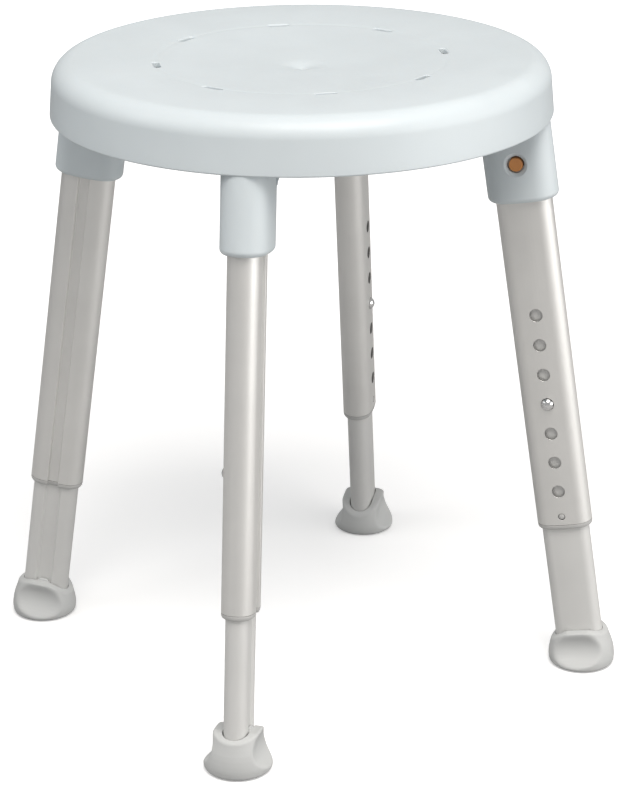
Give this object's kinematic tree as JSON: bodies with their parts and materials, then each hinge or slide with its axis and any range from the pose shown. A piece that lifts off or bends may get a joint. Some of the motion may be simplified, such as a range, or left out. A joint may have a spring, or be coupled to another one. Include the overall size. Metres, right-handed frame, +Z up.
{
  "type": "shower stool",
  "caption": "Round plastic shower stool with a dished, drained seat on splayed telescopic metal legs that pull off by a push button, with rubber feet.",
  "frame": {"origin": "on the floor, under the middle of the seat", "axes": "+Z up; the four legs stand at 45 degrees to X and Y, and -Y is the front"},
  "size_m": [0.394, 0.394, 0.5],
  "materials": {
    "seat_plastic": "fine-grained moulded polypropylene, pale cool grey, soft sheen",
    "leg_alloy": "satin anodised extrusion with fine lengthwise grain",
    "inner_leg_plastic": "matte warm grey",
    "foot_rubber": "matte light grey soft rubber",
    "copper_brown_plastic": "smooth copper-brown acetal",
    "grey_plastic": "moulded nylon, light grey",
    "polished_steel": "polished stainless steel",
    "spring_steel": "rolled stainless strip"
  },
  "bodies": {
    "seat": {"seat": "seat_plastic"},
    "front_left_leg": {"front_left_leg_tube": "leg_alloy", "front_left_tube_plug": "grey_plastic", "front_left_guide_bush": "grey_plastic"},
    "front_left_release": {"front_left_release_clip": "copper_brown_plastic"},
    "front_left_lower_leg": {"front_left_inner_leg": "inner_leg_plastic", "front_left_leg_glide": "grey_plastic", "front_left_button_spring": "spring_steel", "front_left_foot": "foot_rubber"},
    "front_left_height_button": {"front_left_height_button": "polished_steel"},
    "front_right_leg": {"front_right_leg_tube": "leg_alloy", "front_right_tube_plug": "grey_plastic", "front_right_guide_bush": "grey_plastic"},
    "front_right_release": {"front_right_release_clip": "copper_brown_plastic"},
    "front_right_lower_leg": {"front_right_inner_leg": "inner_leg_plastic", "front_right_leg_glide": "grey_plastic", "front_right_button_spring": "spring_steel", "front_right_foot": "foot_rubber"},
    "front_right_height_button": {"front_right_height_button": "polished_steel"},
    "back_right_leg": {"back_right_leg_tube": "leg_alloy", "back_right_tube_plug": "grey_plastic", "back_right_guide_bush": "grey_plastic"},
    "back_right_release": {"back_right_release_clip": "copper_brown_plastic"},
    "back_right_lower_leg": {"back_right_inner_leg": "inner_leg_plastic", "back_right_leg_glide": "grey_plastic", "back_right_button_spring": "spring_steel", "back_right_foot": "foot_rubber"},
    "back_right_height_button": {"back_right_height_button": "polished_steel"},
    "back_left_leg": {"back_left_leg_tube": "leg_alloy", "back_left_tube_plug": "grey_plastic", "back_left_guide_bush": "grey_plastic"},
    "back_left_release": {"back_left_release_clip": "copper_brown_plastic"},
    "back_left_lower_leg": {"back_left_inner_leg": "inner_leg_plastic", "back_left_leg_glide": "grey_plastic", "back_left_button_spring": "spring_steel", "back_left_foot": "foot_rubber"},
    "back_left_height_button": {"back_left_height_button": "polished_steel"}
  },
  "joints": [
    {"name": "front_left_leg_pull", "type": "slide", "parent": "seat", "child": "front_left_leg", "axis": [-0.1016, -0.1016, -0.9896], "range_m": [0, 0.095], "deforming": ["front_left_release_clip"]},
    {"name": "front_left_release_press", "type": "slide", "parent": "front_left_leg", "child": "front_left_release", "axis": [0.7071, -0.7071, 0], "range_m": [0, 0.0049], "stiffness_N_per_m": 2500, "springref_m": -0.001, "deforming": ["front_left_release_clip"]},
    {"name": "front_left_height", "type": "slide", "parent": "front_left_leg", "child": "front_left_lower_leg", "axis": [-0.1016, -0.1016, -0.9896], "range_m": [-0.075, 0.075]},
    {"name": "front_left_height_press", "type": "slide", "parent": "front_left_lower_leg", "child": "front_left_height_button", "axis": [0.7071, -0.7071, 0], "range_m": [0, 0.0053], "stiffness_N_per_m": 2500, "springref_m": -0.001, "deforming": ["front_left_button_spring"]},
    {"name": "front_right_leg_pull", "type": "slide", "parent": "seat", "child": "front_right_leg", "axis": [0.1016, -0.1016, -0.9896], "range_m": [0, 0.095], "deforming": ["front_right_release_clip"]},
    {"name": "front_right_release_press", "type": "slide", "parent": "front_right_leg", "child": "front_right_release", "axis": [0.7071, 0.7071, 0], "range_m": [0, 0.0049], "stiffness_N_per_m": 2500, "springref_m": -0.001, "deforming": ["front_right_release_clip"]},
    {"name": "front_right_height", "type": "slide", "parent": "front_right_leg", "child": "front_right_lower_leg", "axis": [0.1016, -0.1016, -0.9896], "range_m": [-0.075, 0.075]},
    {"name": "front_right_height_press", "type": "slide", "parent": "front_right_lower_leg", "child": "front_right_height_button", "axis": [0.7071, 0.7071, 0], "range_m": [0, 0.0053], "stiffness_N_per_m": 2500, "springref_m": -0.001, "deforming": ["front_right_button_spring"]},
    {"name": "back_right_leg_pull", "type": "slide", "parent": "seat", "child": "back_right_leg", "axis": [0.1016, 0.1016, -0.9896], "range_m": [0, 0.095], "deforming": ["back_right_release_clip"]},
    {"name": "back_right_release_press", "type": "slide", "parent": "back_right_leg", "child": "back_right_release", "axis": [-0.7071, 0.7071, 0], "range_m": [0, 0.0049], "stiffness_N_per_m": 2500, "springref_m": -0.001, "deforming": ["back_right_release_clip"]},
    {"name": "back_right_height", "type": "slide", "parent": "back_right_leg", "child": "back_right_lower_leg", "axis": [0.1016, 0.1016, -0.9896], "range_m": [-0.075, 0.075]},
    {"name": "back_right_height_press", "type": "slide", "parent": "back_right_lower_leg", "child": "back_right_height_button", "axis": [-0.7071, 0.7071, 0], "range_m": [0, 0.0053], "stiffness_N_per_m": 2500, "springref_m": -0.001, "deforming": ["back_right_button_spring"]},
    {"name": "back_left_leg_pull", "type": "slide", "parent": "seat", "child": "back_left_leg", "axis": [-0.1016, 0.1016, -0.9896], "range_m": [0, 0.095], "deforming": ["back_left_release_clip"]},
    {"name": "back_left_release_press", "type": "slide", "parent": "back_left_leg", "child": "back_left_release", "axis": [-0.7071, -0.7071, 0], "range_m": [0, 0.0049], "stiffness_N_per_m": 2500, "springref_m": -0.001, "deforming": ["back_left_release_clip"]},
    {"name": "back_left_height", "type": "slide", "parent": "back_left_leg", "child": "back_left_lower_leg", "axis": [-0.1016, 0.1016, -0.9896], "range_m": [-0.075, 0.075]},
    {"name": "back_left_height_press", "type": "slide", "parent": "back_left_lower_leg", "child": "back_left_height_button", "axis": [-0.7071, -0.7071, 0], "range_m": [0, 0.0053], "stiffness_N_per_m": 2500, "springref_m": -0.001, "deforming": ["back_left_button_spring"]}
  ]
}
